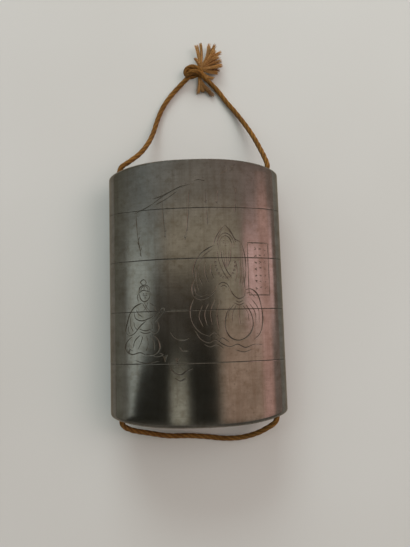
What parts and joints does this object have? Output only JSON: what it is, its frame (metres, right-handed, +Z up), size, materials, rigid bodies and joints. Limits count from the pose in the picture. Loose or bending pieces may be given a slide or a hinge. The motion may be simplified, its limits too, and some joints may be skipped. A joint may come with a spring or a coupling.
{
  "type": "inro case",
  "caption": "Flat oval tiered metal case with a lift-off lid, engraved front and knotted carrying cord, lying on its back.",
  "frame": {"origin": "middle of the metal case's footprint, on the surface that it lies on", "axes": "+X across the case, +Y along it towards the lid, +Z up out of its engraved front"},
  "size_m": [0.06, 0.1498, 0.022],
  "materials": {
    "tarnished_metal": "dark tarnished satin",
    "silk_cord": "twisted, worn"
  },
  "bodies": {
    "root": {"lid": "tarnished_metal", "first_case": "tarnished_metal", "second_case": "tarnished_metal", "third_case": "tarnished_metal", "bottom_case": "tarnished_metal", "cord": "silk_cord", "knot": "silk_cord"}
  },
  "joints": []
}
